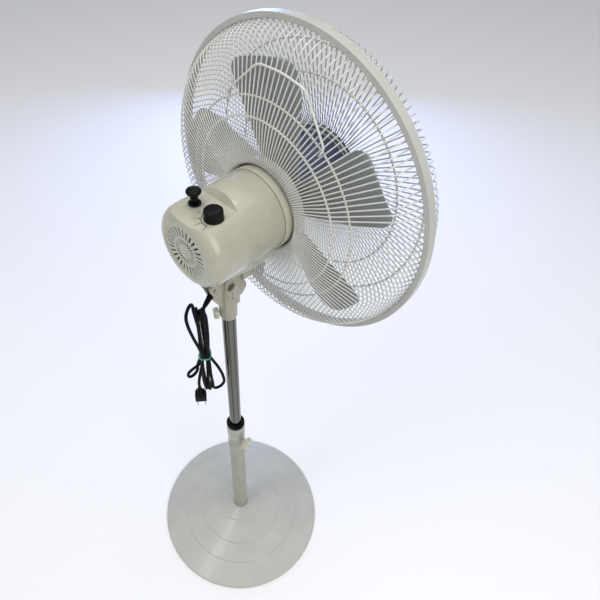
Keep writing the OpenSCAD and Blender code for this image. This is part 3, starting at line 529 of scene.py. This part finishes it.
def cordPath(s):
    # upright turns side by side: down the near side, half round the lower end, up the far side,
    # half round the upper end;
    # the share g grows from 0 at the tie to 1 at each end and pushes that end aside and turns it
    w, turns, tie = s["halfDepth"], s["turns"], -s["tieShare"] * s["hankLength"]
    low = tie - np.array(s["lowBelowTie"] + s["lowBelowTie"][-1:])
    top = -np.array(s["topBelow"] + s["topBelow"][-1:])
    plug = s["plugAt"]
    t = np.linspace(0, turns + s["lastShare"], int(s["stepsPerTurn"] * turns))
    turn = np.minimum(np.floor(t), turns).astype(int)
    phase = t - turn
    last = turn == turns
    down = (phase < 0.5) | last
    straight = np.clip((phase % 0.5) / 0.4, 0, 1)
    bend = np.clip((phase % 0.5 - 0.4) / 0.1, 0, 1) * np.pi * np.where(last, 0, 1)
    lowHere = np.where(last, plug[2], low[turn])
    topHere = top[turn + np.where(down, 0, 1)]
    lz = np.where(down, topHere + (lowHere - topHere) * straight - w * np.sin(bend),
                  lowHere + (topHere - lowHere) * straight + w * np.sin(bend))
    gLow = smooth((tie - lz) / (tie - lowHere))
    gTop = smooth((lz - tie) / (topHere - tie))
    lowIndex, topIndex = np.minimum(turn, turns - 1), turn + np.where(down, 0, 1)
    aside = np.array(s["lowAside"])[lowIndex] * gLow * ~last + np.array(s["topAside"])[topIndex] * gTop
    turned = np.radians(np.array(s["lowTurned"])[lowIndex] * gLow * ~last
                        + np.array(s["topTurned"])[topIndex] * gTop)
    squeeze = np.exp(-((lz - tie) / s["squeezeReach"]) ** 2)
    across = np.where(down, 1, -1) * w * np.cos(bend) * (1 - s["squeeze"] * squeeze)
    lx = ((np.minimum(t, turns - 1) - (turns - 1) / 2) * s["pitch"] * (1 - 0.1 * squeeze)
          - 0.002 + aside + across * np.sin(turned))
    ly = across * np.cos(turned) + smooth((t - turns + 0.12) / 0.14) * 0.0046
    # the last strand leaves the bundle below the tie and runs straight into the plug
    b = smooth((tie - lz) / (tie - plug[2]) * 1.15) * last
    lx, ly = lx * (1 - b) + plug[0] * b, ly * (1 - b) + plug[1] * b
    lx = lx + s["ripple"] * np.sin(lz * 45 + t * 2) * (1 - b)
    strands = hankPoint(s, lx, ly, lz)
    # the lead is a cubic curve from the gland's end, along the gland, to the first strand, straight down
    p0, p3 = np.array(s["exit"]), strands[0]
    p1, p2 = p0 + np.array(s["exitAlong"]), p3 + np.array([0, 0, s["leadEnds"]])
    u = np.linspace(0, 1, 14, endpoint=False)[:, None]
    lead = (1 - u) ** 3 * p0 + 3 * u * (1 - u) ** 2 * p1 + 3 * u ** 2 * (1 - u) * p2 + u ** 3 * p3
    return np.vstack([lead, strands])


def makeTie(s, path):
    # a thin coated wire drawn round the squeezed strands, its two ends twisted together
    level = s["hankTop"] - s["tieShare"] * s["hankLength"]
    a = math.radians(s["hankTurn"])
    local = np.stack([(path[:, 0] - s["hankCentre"][0]) * math.cos(a) +
                      (path[:, 1] - s["hankCentre"][1]) * math.sin(a),
                      (path[:, 1] - s["hankCentre"][1]) * math.cos(a) -
                      (path[:, 0] - s["hankCentre"][0]) * math.sin(a)], -1)
    near = local[np.abs(path[:, 2] - level) < 0.006]
    middle = (near.min(0) + near.max(0)) / 2
    reach = (near.max(0) - near.min(0)) / 2 + s["diameter"] / 2 + 0.0008
    phi = np.linspace(0, 2 * np.pi, 49)
    shape = 2 / 3
    loop = np.stack([middle[0] + reach[0] * np.sign(np.cos(phi)) * np.abs(np.cos(phi)) ** shape,
                     middle[1] + reach[1] * np.sign(np.sin(phi)) * np.abs(np.sin(phi)) ** shape], -1)
    height = -s["tieShare"] * s["hankLength"] + 0.0012 * np.sin(phi)
    ring = hankPoint(s, loop[:, 0], loop[:, 1], height)
    parts = [tubePoints(ring[:-1], s["tieWireRadius"], 8)]
    faces = [gridFaces(48, 8, True, True)]
    twist = np.linspace(0, 1, 40)
    for start in (0, np.pi):
        spin = twist * 6 * np.pi + start
        tail = hankPoint(s, middle[0] + reach[0] + 0.0006 + 0.001 * np.cos(spin),
                         middle[1] + 0.001 * np.sin(spin),
                         -s["tieShare"] * s["hankLength"] - s["tieTail"] * twist)
        faces.append(gridFaces(40, 8, False, True) + sum(len(q.reshape(-1, 3)) for q in parts))
        parts.append(tubePoints(tail, 0.0009, 8))
    return meshObject("tieWire", np.vstack([q.reshape(-1, 3) for q in parts]), np.vstack(faces))


def makeCord(s):
    path = cordPath(s)
    curve = bpy.data.curves.new("powerCord", "CURVE")
    curve.dimensions = "3D"
    spline = curve.splines.new("POLY")
    spline.points.add(len(path) - 1)
    spline.points.foreach_set("co", np.hstack([path, np.ones((len(path), 1))]).ravel())
    curve.bevel_depth = s["diameter"] / 2
    curve.bevel_resolution = 4
    curve.use_fill_caps = True
    spline.use_smooth = True
    cord = bpy.data.objects.new("powerCord", curve)
    bpy.context.scene.collection.objects.link(cord)
    place(cord, "neck", finishes["blackRubber"], "cord_rubber", "cord_lead", "cord_hank")
    plug = place(softenedCopy("plug_body", 0.0016), "neck", finishes["blackRubber"], "cord_rubber",
                 "plug_body")
    tie = place(makeTie(s, path), "neck", finishes["greenTie"], "green_tie", "cord_tie")


makeCord(cordSet)


# ---------- guard ----------
guardSet = {
    "wireRadius": 0.00095,
    "sides": 6,
    "rearCount": 144,
    "frontCount": 144,
    "kinkRadius": 0.118,
    "kinkDepth": 0.0545,
    "secondRing": 0.140,
    "ridgeRadius": 0.0641,
    "ridgeBend": 0.00465,
    "ridgeBack": 0.002,
    "rimRadius": 0.211,
    "rimGap": 0.0029,
    "frontDepth": 0.056,
    "frontRing": 0.182,
    "badgeRadius": 0.072,
}


def wireSet(name, path, count, radius, sides, bend):
    # round wire: a ring of points about each path point, repeated round the fan axis
    path = rounded(path, bend, 6)
    tangent = np.gradient(path, axis=0)
    tangent /= np.linalg.norm(tangent, axis=1)[:, None]
    normal = np.stack([-tangent[:, 1], tangent[:, 0]], -1)
    phi = np.linspace(0, 2 * np.pi, sides, endpoint=False)
    ringR = path[:, None, 0] + radius * np.cos(phi) * normal[:, None, 0]
    ringS = path[:, None, 1] + radius * np.cos(phi) * normal[:, None, 1]
    side = radius * np.sin(phi) + 0 * ringR
    angle = ((np.arange(count) + 0.5) * 2 * np.pi / count)[:, None, None]
    x = -(ringR * np.sin(angle) + side * np.cos(angle))
    z = axisZ + ringR * np.cos(angle) - side * np.sin(angle)
    y = rimY - ringS + 0 * angle
    points = np.stack([x, y, z], -1)
    n = len(path)
    tube = gridFaces(n, sides, False, True)
    starts = np.arange(count)[:, None, None] * n * sides
    faces = (tube[None] + starts).reshape(-1, 4).tolist()
    caps = np.arange(sides)
    for first in (caps[::-1], caps + (n - 1) * sides):
        faces += (first[None] + starts[:, 0]).tolist()
    mesh = bpy.data.meshes.new(name)
    mesh.from_pydata(points.reshape(-1, 3).tolist(), [], faces)
    bm = bmesh.new()
    bm.from_mesh(mesh)
    bmesh.ops.recalc_face_normals(bm, faces=bm.faces)
    bm.to_mesh(mesh)
    bm.free()
    mesh.shade_smooth()
    obj = bpy.data.objects.new(name, mesh)
    bpy.context.scene.collection.objects.link(obj)
    return obj


def dish(s, r):
    return -s["kinkDepth"] + (r - s["kinkRadius"]) * (s["kinkDepth"] - 0.028) / (0.2 - s["kinkRadius"])


def makeGuard(s):
    ridgeS = -s["kinkDepth"] + s["ridgeBack"]
    turned = np.linspace(0, np.pi / 2, 7)
    overRidge = np.stack([s["ridgeRadius"] - s["ridgeBend"] * np.cos(turned),
                          ridgeS - s["ridgeBend"] * np.sin(turned)], -1)
    rear = np.vstack([[(s["ridgeRadius"] - s["ridgeBend"], ridgeS + 0.007)], overRidge,
                      [(s["kinkRadius"], -s["kinkDepth"]),
            (0.2, dish(s, 0.2)), (s["rimRadius"] - 0.0016, -s["rimGap"] - 0.001)]])
    front = [(s["badgeRadius"] - 0.004, s["frontDepth"]), (s["frontRing"], s["frontDepth"] - 0.009),
             (0.2004, 0.038),
             (0.2054, 0.026), (s["rimRadius"] - 0.0016, s["rimGap"] + 0.001)]
    rearWires = wireSet("rearWires", rear, s["rearCount"], s["wireRadius"], s["sides"], 0.014)
    frontWires = wireSet("frontWires", front, s["frontCount"], s["wireRadius"], s["sides"], 0.012)
    place(rearWires, "motor_head", finishes["wireCoat"], "guard_wire", "rear_guard_wires")
    place(frontWires, "motor_head", finishes["wireCoat"], "guard_wire", "front_guard_wires")


handleSet = {
    "radius": 0.0014,
    "top": 0.176,
    "foot": 0.137,
    "turn": 5.5,  # degrees
    "cornerAngle": 11.7,
    "footAngle": 32.5,
    "rise": 0.004,
}


def makeHandle(s, g):
    # a bent wire: out from its feet, slanting in to round corners, straight across the top,
    # lifting off the dish outwards
    corners = [(s["foot"], s["footAngle"]), (s["foot"] + 0.010, s["footAngle"] - 1),
               (s["top"], s["cornerAngle"]), (s["top"], 0)]
    corners += [(r, -a) for r, a in corners[-2::-1]]
    flat = np.array([(-r * math.sin(math.radians(a + s["turn"])), r * math.cos(math.radians(a + s["turn"])))
                     for r, a in corners])
    flat = rounded(flat, 0.009, 8)
    out = np.linalg.norm(flat, axis=1)
    share = np.clip((out - g["secondRing"]) / (s["top"] - g["secondRing"]), 0, 1)
    depth = dish(g, out) - g["wireRadius"] - s["radius"] + 0.00025 - s["rise"] * share
    path = np.stack([flat[:, 0], rimY - depth, axisZ + flat[:, 1]], -1)
    place(gridObject("carryWire", tubePoints(path, s["radius"], 12), wrapV=True), "motor_head",
          finishes["wireCoat"],
          "guard_wire", "carry_handle")


makeGuard(guardSet)
makeHandle(handleSet, guardSet)
print("guard wires made")


# ---------- blades ----------
bladeSet = {
    "count": 5,
    "rootRadius": 0.031,
    "tipRadius": 0.177,
    "rootPitch": 18,
    "tipPitch": 7.5,
    "thickness": 0.0021,
    "camber": 0.006,
    "middle": -0.021,
    "cornerRadius": 0.013,
    "hubRadius": 0.034,
    # half chord and angle of the middle line at some radii
    "atRadius": (0.030, 0.045, 0.059, 0.078, 0.097, 0.120, 0.140, 0.160, 0.177),
    "halfChord": (0.019, 0.0247, 0.0288, 0.0327, 0.0372, 0.0425, 0.0475, 0.0495, 0.049),
    "midAngle": (9, 4.5, 0, -3.9, -6.2, -8, -9.2, -10.7, -11.8),
}


def bladePoints(s, turn, nu=60, nv=40):
    # u runs from root to tip, v goes once round the thin section; near the tip the half chord w becomes
    # w - c + sqrt(c^2 - d^2), with c the corner radius and d the distance into the corner
    u = np.linspace(0, 1, nu)[:, None]
    v = np.linspace(0, 2 * np.pi, nv, endpoint=False)[None, :]
    r = s["rootRadius"] + (s["tipRadius"] - s["rootRadius"]) * np.where(
        u < 0.6, u * 1.4, 1 - 0.16 * ((1 - u) / 0.4) ** 1.8)
    share = (r - s["rootRadius"]) / (s["tipRadius"] - s["rootRadius"])
    corner = s["cornerRadius"]
    over = np.clip(r - s["tipRadius"] + corner, 0, corner)
    half = np.interp(r, s["atRadius"], s["halfChord"]) - corner + np.sqrt(corner ** 2 - over ** 2)
    middle = np.radians(np.interp(r, s["atRadius"], s["midAngle"]))
    pitch = np.radians(s["rootPitch"] + (s["tipPitch"] - s["rootPitch"]) * share ** 0.4)
    across = np.sign(np.cos(v)) * np.abs(np.cos(v)) ** 0.8
    x = half * across
    angle = middle + x * np.cos(pitch) / r + turn
    lift = s["thickness"] / 2 * np.sign(np.sin(v)) * np.abs(np.sin(v)) ** 0.55
    depth = s["middle"] + x * np.sin(pitch) - s["camber"] * (1 - across ** 2) + lift
    return aroundHead(r + 0 * v, angle, depth)


def makeBlades(s):
    rings, faces, start = [], [], 0
    for k in range(s["count"]):
        points = bladePoints(s, k * 2 * np.pi / s["count"])
        rings.append(points.reshape(-1, 3))
        faces.append(gridFaces(*points.shape[:2], False, True) + start)
        start += points.shape[0] * points.shape[1]
    hub = rounded([(0.0042, -0.0285), (0.029, -0.029), (s["hubRadius"], -0.029), (s["hubRadius"], -0.001),
                   (0.0042, -0.001)], 0.003)
    angle = np.linspace(0, 2 * np.pi, 96, endpoint=False)[:, None]
    shell = aroundHead(hub[None, :, 0], angle, hub[None, :, 1])
    rings.append(shell.reshape(-1, 3))
    faces.append(gridFaces(*shell.shape[:2], True, True) + start)
    fan = meshObject("bladeSet", np.vstack(rings), np.vstack(faces))
    fan.data.set_sharp_from_angle(angle=math.radians(50))
    return place(fan, "fan_rotor", finishes["bladeSmoke"], "blade_plastic", "fan_blade")


makeBlades(bladeSet)
print("blades made")


# ---------- base ----------
baseSet = {
    "lines": (0.047, 0.095, 0.135),
    "lineWidth": 0.0016,
    "lineDepth": 0.0008,
    "edgeRadius": 0.004,
    "wall": 0.0024,
}


def makeBase(s):
    low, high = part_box("base_cover")
    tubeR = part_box("lower_tube")[1].x
    outer, edgeTop = high.x, 0.007
    coneIn, coneOut = tubeR + 0.008, outer - s["edgeRadius"]
    crown = high.z - 0.0012
    slope = (crown - edgeTop) / (coneOut - coneIn)
    # the cone as a height over radius, with a soft dip at each line and a raised lip at the tube
    r = np.unique(np.concatenate([np.linspace(coneIn, coneOut, 60)]
                                 + [line + np.linspace(-2, 2, 13) * s["lineWidth"] for line in s["lines"]]))
    z = edgeTop + (coneOut - r) * slope
    for line in s["lines"]:
        z = z - s["lineDepth"] * np.exp(-((r - line) / (s["lineWidth"] * 0.45)) ** 2)
    cone = np.stack([r, z], -1)
    a = np.linspace(np.radians(76), 0, 10)
    edge = np.stack([outer - s["edgeRadius"] * (1 - np.cos(a)), edgeTop - s["edgeRadius"] * (1 - np.sin(a))],
                    -1)
    lip = rounded([(tubeR + 0.0001, crown - 0.004), (tubeR + 0.0001, high.z), (tubeR + 0.0025, high.z),
                   (coneIn, crown)], 0.0008, 4)
    under = [(outer, low.z), (outer - s["wall"], low.z), (outer - s["wall"], edgeTop - s["wall"]),
             (coneIn, crown - s["wall"]),
             (tubeR + 0.0001, crown - s["wall"])]
    cover = latheUp("baseShell", np.vstack([lip, cone[1:], edge[1:], under]), segments=180)
    cover.data.set_sharp_from_angle(angle=math.radians(40))
    place(cover, "base", finishes["creamBase"], "cream_shell", "base_cover")


makeBase(baseSet)
print("base made")


# ---------- moulded pieces with rounded edges ----------
softEdges = {
    "motor_housing": (0.0011, "creamShell", "cream_shell", "motor_head"),
    "front_ring": (0.0008, "creamShell", "cream_shell", "motor_head"),
    "bottom_tray": (0.0009, "creamShell", "cream_shell", "motor_head"),
    "neck_bracket": (0.0007, "creamNeck", "cream_neck", "neck"),
    "tilt_head": (0.0009, "creamNeck", "cream_neck", "tilt"),
    "height_collar": (0.0005, "creamTube", "cream_shell", "base"),
    "collar_bush": (0.0006, "blackGloss", "black_plastic", "base"),
    "height_clamp_knob": (0.0008, "ivoryKnob", "ivory_knob", "height_clamp"),
    "neck_clamp_knob": (0.0008, "ivoryKnob", "ivory_knob", "neck_clamp"),
    "speed_knob": (0.0005, "blackGloss", "black_plastic", "speed_dial"),
    "swing_knob": (0.0006, "blackGloss", "black_plastic", "swing_button"),
    "knob_ferrule": (0.0005, "blackGloss", "black_plastic", "motor_head"),
    "band_clip": (0.0006, "creamShell", "cream_shell", "motor_head"),
}
for node, (width, finishName, slotName, body) in softEdges.items():
    place(softenedCopy(node, width), body, finishes[finishName], slotName, node)
print("rounded edges made")


# ---------- shadow line between the housing and its front ring ----------
seamSet = {"width": 0.0009, "proud": 0.00006}


def makeSeam(s):
    low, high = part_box("motor_housing")
    seamS = rimY - low.y
    radius = (high.x - low.x) / 2
    # painted shadow: a thin dark ring laid where the gap between the housing and its front ring lies in shade
    line = [(radius - 0.002, seamS - s["width"]), (radius + s["proud"], seamS - s["width"]),
            (radius + s["proud"], seamS + 0.0002),
            (radius - 0.002, seamS + 0.0002)]
    place(latheHead("seamLine", line), "motor_head", finishes["seamDark"], "marks")


makeSeam(seamSet)
print("seam made")


# ---------- numbers round the speed dial ----------
dialSet = {
    "digits": "0123",
    "radius": 0.0222,
    "firstAngle": 10,  # degrees
    "step": 32,  # degrees
    "size": 0.0052,
    "thickness": 0.0001,
}


def makeDigits(s):
    low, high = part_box("speed_knob")
    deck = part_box("dial_marks")[0].z
    joined = bmesh.new()
    for k, digit in enumerate(s["digits"]):
        angle = math.radians(s["firstAngle"] + k * s["step"])
        curve = bpy.data.curves.new("digit", "FONT")
        curve.body = digit
        curve.size = s["size"]
        curve.extrude = s["thickness"]
        curve.align_x, curve.align_y = "CENTER", "CENTER"
        holder = bpy.data.objects.new("digit", curve)
        bpy.context.scene.collection.objects.link(holder)
        mesh = bpy.data.meshes.new_from_object(holder)
        bpy.data.objects.remove(holder)
        at = Vector(((low.x + high.x) / 2 + s["radius"] * math.cos(angle),
                     (low.y + high.y) / 2 + s["radius"] * math.sin(angle), deck))
        mesh.transform(Matrix.Translation(at) @ Matrix.Rotation(math.pi, 4, "Z"))
        joined.from_mesh(mesh)
        bpy.data.meshes.remove(mesh)
    bmesh.ops.triangulate(joined, faces=joined.faces)
    mesh = bpy.data.meshes.new("dialDigits")
    joined.to_mesh(mesh)
    joined.free()
    obj = bpy.data.objects.new("dialDigits", mesh)
    bpy.context.scene.collection.objects.link(obj)
    place(obj, "motor_head", finishes["blackPrint"], "marks")


makeDigits(dialSet)
print("digits made")


# ---------- finishes on the nodes that stay ----------
finishOf = {
    "base_weight": "ballast", "base_plate": "blackSheet", "base_feet": "blackRubber", "pole_flange": "steel",
    "flange_bolts": "steel", "lower_tube": "creamTube", "height_clamp_stud": "steel", "upper_tube": "chrome",
    "tube_glide": "blackGloss", "neck_clamp_stud": "steel", "tilt_bolt": "darkSteel", "tilt_nut": "darkSteel",
    "swing_pin": "steel", "thrust_washer": "steel", "motor_stator": "stack", "motor_windings": "copper",
    "front_shield": "steel", "rear_shield": "steel", "motor_bearings": "bronze", "motor_rotor": "stack",
    "motor_shaft": "steel", "gearbox_case": "greyCase", "worm_wheel": "nylon", "speed_switch": "greyCase",
    "dial_marks": "blackPrint", "capacitor": "greyCase", "rear_guard_hub": "wireCoat",
    "rear_guard_rings": "wireCoat",
    "guard_nut": "blackGloss", "guard_band": "creamBase", "front_guard_rings": "wireCoat",
    "front_badge": "badgeBack", "blade_nut": "blackGloss", "cord_gland": "blackRubber",
    "plug_pins": "steel",
}
for node, finishName in finishOf.items():
    mesh = nodes[node].data
    mesh.materials.clear()
    mesh.materials.append(finishes[finishName])
print("finishes given")


# ---------- floor and light ----------
studioSet = {
    "floorColor": (0.9, 0.9, 0.9, 1),
    "world": (0.86, 0.88, 0.92, 1),
    "worldStrength": 0.5,
    "lights": [
        # name, place, aims at, size x and y, watts, colour
        ("overhead", (0, 0, 3.6), (0, 0, 0), (5, 5), 62, (1, 1, 1)),
        ("ceilingTube", (0.1, 0.5, 2.6), (0, 0, 0.4), (0.3, 2.4), 13, (1, 0.98, 0.94)),
        ("sideSoft", (-1.9, 0.4, 1.7), (0, 0, 0.7), (1.4, 1.4), 17, (1, 0.99, 0.97)),
        ("blueFar", (1.5, -1.7, 0.9), (0, 0, 0.75), (1.2, 1.0), 18, (0.33, 0.45, 1)),
    ],
}


def makeStudio(s):
    points = np.array([[-6, -6, floorZ], [6, -6, floorZ], [6, 6, floorZ], [-6, 6, floorZ]], float)
    floor = meshObject("studioFloor", points, [[0, 1, 2, 3]], fill=False)
    material = bpy.data.materials.new("floorPaint")
    material.use_nodes = True
    shader = material.node_tree.nodes["Principled BSDF"]
    shader.inputs["Base Color"].default_value = s["floorColor"]
    shader.inputs["Roughness"].default_value = 0.75
    floor.data.materials.append(material)
    bpy.context.scene.view_settings.view_transform = "Standard"
    world = bpy.data.worlds.new("studioAir")
    bpy.context.scene.world = world
    world.use_nodes = True
    sky = world.node_tree.nodes["Background"]
    sky.inputs["Color"].default_value = s["world"]
    sky.inputs["Strength"].default_value = s["worldStrength"]
    for name, at, aim, size, watts, color in s["lights"]:
        data = bpy.data.lights.new(name, "AREA")
        data.shape = "RECTANGLE"
        data.size, data.size_y = size
        data.energy = watts
        data.color = color
        lamp = bpy.data.objects.new(name, data)
        lamp.location = at
        lamp.rotation_euler = (Vector(aim) - Vector(at)).to_track_quat("-Z", "Y").to_euler()
        bpy.context.scene.collection.objects.link(lamp)


makeStudio(studioSet)
print("studio made")
